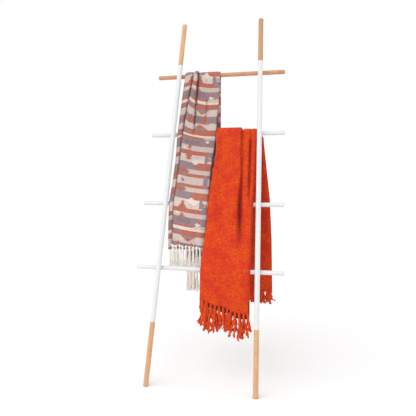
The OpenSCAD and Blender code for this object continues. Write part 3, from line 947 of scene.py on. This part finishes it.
class OrangeSettings(bpy.types.PropertyGroup):
    """Sizes and yarns of the orange throw."""

    width: length_of("Width", "Flat width of the cloth", 1.30)
    length: length_of("Length", "Flat length of the cloth", 1.75)
    stack: length_of("Stack", "Thickness of the folded stack", 0.020)
    thickness: length_of("Cloth thickness", "Thickness of one layer", 0.0026)
    tassel_gap: length_of("Tassel spacing", "Distance between tassels along the hem", 0.0205)
    tassel_pull: number_of("Tassel order", "How well the layers' tassels line up", 0.80, min=0, max=1)
    bright: colour_of("Bright", "Raised pile", srgb(226, 83, 23))
    # The deep colour is partly the wool's own tone, partly shade painted into the hollows between the nubs.
    deep: colour_of("Deep", "Hollows between the nubs", srgb(182, 40, 18))


class StageSettings(bpy.types.PropertyGroup):
    """Floor, lights and camera."""

    floor: colour_of("Floor", "Colour of the floor", (0.93, 0.93, 0.93))
    fill: number_of("Fill", "Strength of the even light", 0.68, min=0)
    key: number_of("Key", "Strength of the main light", 1.65, min=0)
    side: number_of("Side", "Strength of the side light", 0.80, min=0)
    softness: angle_of("Softness", "Width of the lights in the sky", 80)
    key_from: vector_of("Key from", "Direction of the main light", (-0.55, -0.65, 0.85), subtype="DIRECTION")
    side_from: vector_of("Side from", "Direction of the side light", (0.9, -0.35, 0.4), subtype="DIRECTION")
    camera_place: vector_of(
        "Camera", "Place of the camera", (0.6094, TOP[0] - 2.6219, TOP[1] - 0.5321), subtype="TRANSLATION"
    )
    camera_turn: angle_of("Turn", "Turn of the camera to the left", 14.449)
    camera_tilt: angle_of("Tilt", "Tilt of the camera downwards", 3.689)
    camera_lens: number_of("Lens", "Focal length", 43.27, unit="CAMERA")


# ---- Operators ----

class RACK_OT_wood(bpy.types.Operator):
    """Give the pole ends and the top rung their wood"""

    bl_idname = "rack.wood"
    bl_label = "Wooden Parts"

    def execute(self, context):
        props = context.scene.rack_settings
        taper = pole_taper()
        light = np.array(props.pole_light)
        dark = np.array(props.pole_dark)
        tones = (("left_top", 0.82), ("right_top", 0.62), ("left_bottom", 0.78), ("right_bottom", 0.80))
        for pole, tone in tones:
            turn = (LEAN, SIDES[pole.split("_")[0]] * taper, 0)
            shade = np.array([tone ** 0.8, tone, tone ** 1.15])
            wood = wood_finish("pole_wood_" + pole, tuple(light * shade), tuple(dark * shade), turn)
            dress_nodes([pole + "_pole"], wood)
        across = (0, math.radians(90), 0)
        rung = wood_finish("rung_wood", tuple(props.rung_light), tuple(props.rung_dark), across)
        dress_nodes(["top_rung"], rung)
        return {"FINISHED"}


class RACK_OT_paint(bpy.types.Operator):
    """Give the white tubes their powder coat"""

    bl_idname = "rack.paint"
    bl_label = "White Tubes"

    def execute(self, context):
        paint = paint_finish("white_paint", tuple(context.scene.rack_settings.paint))
        tubes = ["left_white_tube", "right_white_tube", "second_rung", "third_rung", "bottom_rung"]
        dress_nodes(tubes, paint)
        return {"FINISHED"}


class RACK_OT_fittings(bpy.types.Operator):
    """Give caps, saddles, pads, bolts and inserts their plastic, rubber and metal"""

    bl_idname = "rack.fittings"
    bl_label = "Fittings"

    def execute(self, context):
        plastic = moulded_finish("white_plastic", (0.71, 0.71, 0.71), 0.45)
        dress_nodes(["rung_end_caps", "rung_saddles"], plastic)
        dress_nodes(["tube_plugs"], moulded_finish("dark_plastic", (0.03, 0.03, 0.032), 0.5))
        pads = [side + part for side in SIDES for part in ("_foot_pad", "_wall_pad")]
        dress_nodes(pads, moulded_finish("grey_rubber", srgb(120, 116, 112), 0.8, 1500))
        steel = moulded_finish("zinc_steel", (0.66, 0.67, 0.68), 0.3, 2200, 0.00006, 1.0)
        dress_nodes(["joining_studs", "rung_bolts", "curved_washers"], steel)
        brass = moulded_finish("insert_brass", (0.72, 0.52, 0.22), 0.35, 2200, 0.00006, 1.0)
        dress_nodes(["threaded_inserts"], brass)
        return {"FINISHED"}


class RACK_OT_patterned_throw(bpy.types.Operator):
    """Hang the patterned throw over the top rung, with its knotted fringes"""

    bl_idname = "rack.patterned_throw"
    bl_label = "Patterned Throw"

    def execute(self, context):
        props = context.scene.patterned_settings
        rng = np.random.default_rng(7)
        points, uv, painted_shade = patterned_sheet(props)
        cloth = piece_from("patterned_throw_cloth", points, grid_faces(*points.shape[:2]).tolist(), uv, painted_shade)
        thicken(cloth, props.thickness)
        dress(cloth, weave_finish(props))
        yarn = yarn_finish("cream_yarn", (0.98, 0.965, 0.93), (0.88, 0.83, 0.75))
        for name, row, long in P_FRINGES:
            roots = hem_roots(points, row, props.tassel_gap, props.tassel_pull)
            length = long * rng.uniform(0.94, 1.05, len(roots))
            fringe = knotted_tassels(name, roots, length, rng)
            dress(fringe, yarn)
            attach(fringe, "patterned_throw")
        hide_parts("patterned_front_fringe")
        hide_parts("patterned_back_fringe")
        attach(cloth, "patterned_throw")
        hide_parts("patterned_throw_front", "patterned_throw_fold", "patterned_throw_back")
        return {"FINISHED"}


class RACK_OT_orange_throw(bpy.types.Operator):
    """Hang the orange throw over the second rung, with its twisted tassels"""

    bl_idname = "rack.orange_throw"
    bl_label = "Orange Throw"

    def execute(self, context):
        props = context.scene.orange_settings
        rng = np.random.default_rng(11)
        points, uv, painted_shade = orange_sheet(props)
        cloth = piece_from("orange_throw_cloth", points, grid_faces(*points.shape[:2]).tolist(), uv, painted_shade)
        thicken(cloth, props.thickness)
        dress(cloth, wool_finish(props))
        yarn = yarn_finish("orange_yarn", tuple(props.bright), tuple(props.deep), 420.0)
        for name, row in (("orange_front_tassels", 0), ("orange_back_tassels", -1)):
            roots = hem_roots(points, row, props.tassel_gap, props.tassel_pull)
            if row == 0:
                tip = np.interp(roots[:, 0], *np.array(O_FRONT_TIPS).T)
            else:
                tip = np.full(len(roots), O_BACK_TIP)
            length = (roots[:, 2] - tip) * rng.uniform(0.74, 1.04, len(roots))
            fringe = rope_tassels(name, roots, length, rng)
            dress(fringe, yarn)
            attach(fringe, "orange_throw")
        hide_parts("orange_front_fringe")
        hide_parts("orange_back_fringe")
        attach(cloth, "orange_throw")
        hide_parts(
            "orange_throw_front", "orange_throw_fold", "orange_throw_back", "orange_throw_corner"
        )
        return {"FINISHED"}


class RACK_OT_stage(bpy.types.Operator):
    """Lay a plain pale floor and set up soft lights and the camera"""

    bl_idname = "rack.stage"
    bl_label = "Stage"

    def execute(self, context):
        props = context.scene.stage_settings
        reach = 14.0
        just_below = -0.0005
        corners = reach * np.array([[-1, -1, 0], [1, -1, 0], [1, 1, 0], [-1, 1, 0]])
        floor = piece_from("studio_floor", corners + [0, 0, just_below], [[0, 1, 2, 3]])
        matt, tree, shader = finish("studio_floor", Roughness=0.95)
        fleck = noise(tree, placed(tree), 3, 2)
        pale = blended(tree, fleck, tuple(props.floor), toned(props.floor, 0.99))
        tree.links.new(pale, shader.inputs["Base Color"])
        dress(floor, matt)
        world = bpy.data.worlds.new("studio")
        world.use_nodes = True
        context.scene.world = world
        even = world.node_tree.nodes["Background"]
        even.inputs["Color"].default_value = (1, 1, 1, 1)
        even.inputs["Strength"].default_value = props.fill
        white = add(world.node_tree, "Background", {"Color": (1, 1, 1, 1), "Strength": 1.0})
        seen = add(world.node_tree, "LightPath").outputs["Is Camera Ray"]
        both = add(world.node_tree, "MixShader", {0: seen, 1: even.outputs[0], 2: white.outputs[0]})
        world.node_tree.links.new(both.outputs[0], world.node_tree.nodes["World Output"].inputs["Surface"])
        for name, towards, power in (("key", props.key_from, props.key), ("side", props.side_from, props.side)):
            data = bpy.data.lights.new(name, "SUN")
            data.energy = power
            data.angle = props.softness
            lamp = bpy.data.objects.new(name, data)
            lamp.rotation_mode = "QUATERNION"
            lamp.rotation_quaternion = Vector(towards).to_track_quat("Z", "Y")
            context.scene.collection.objects.link(lamp)
        camera = bpy.data.objects.new("camera", bpy.data.cameras.new("camera"))
        camera.data.lens = props.camera_lens
        camera.data.sensor_width = 36
        camera.location = props.camera_place
        camera.rotation_euler = (math.pi / 2 - props.camera_tilt, 0, props.camera_turn)
        context.scene.collection.objects.link(camera)
        context.scene.camera = camera
        context.scene.view_settings.view_transform = "Standard"
        return {"FINISHED"}


OPERATORS = (
    RACK_OT_wood, RACK_OT_paint, RACK_OT_fittings, RACK_OT_patterned_throw, RACK_OT_orange_throw, RACK_OT_stage,
)


class RACK_PT_panel(bpy.types.Panel):
    """Lists the rack's pieces and settings"""

    bl_idname = "RACK_PT_panel"
    bl_label = "Ladder Rack"
    bl_space_type = "VIEW_3D"
    bl_region_type = "UI"
    bl_category = "Ladder Rack"

    def draw(self, context):
        for operator in OPERATORS:
            self.layout.operator(operator.bl_idname)
        for group in SETTINGS:
            box = self.layout.box()
            for key in SETTINGS[group].__annotations__:
                box.prop(getattr(context.scene, group), key)


SETTINGS = {
    "rack_settings": RackSettings,
    "patterned_settings": PatternedSettings,
    "orange_settings": OrangeSettings,
    "stage_settings": StageSettings,
}


def register():
    for cls in (*SETTINGS.values(), *OPERATORS, RACK_PT_panel):
        bpy.utils.register_class(cls)
    for name, group in SETTINGS.items():
        setattr(bpy.types.Scene, name, bpy.props.PointerProperty(type=group))


def unregister():
    for name in SETTINGS:
        delattr(bpy.types.Scene, name)
    for cls in reversed((*SETTINGS.values(), *OPERATORS, RACK_PT_panel)):
        bpy.utils.unregister_class(cls)


def main():
    register()
    for operator in OPERATORS:
        group, name = operator.bl_idname.split(".")
        getattr(getattr(bpy.ops, group), name)()
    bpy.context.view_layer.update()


if __name__ == "__main__":
    main()
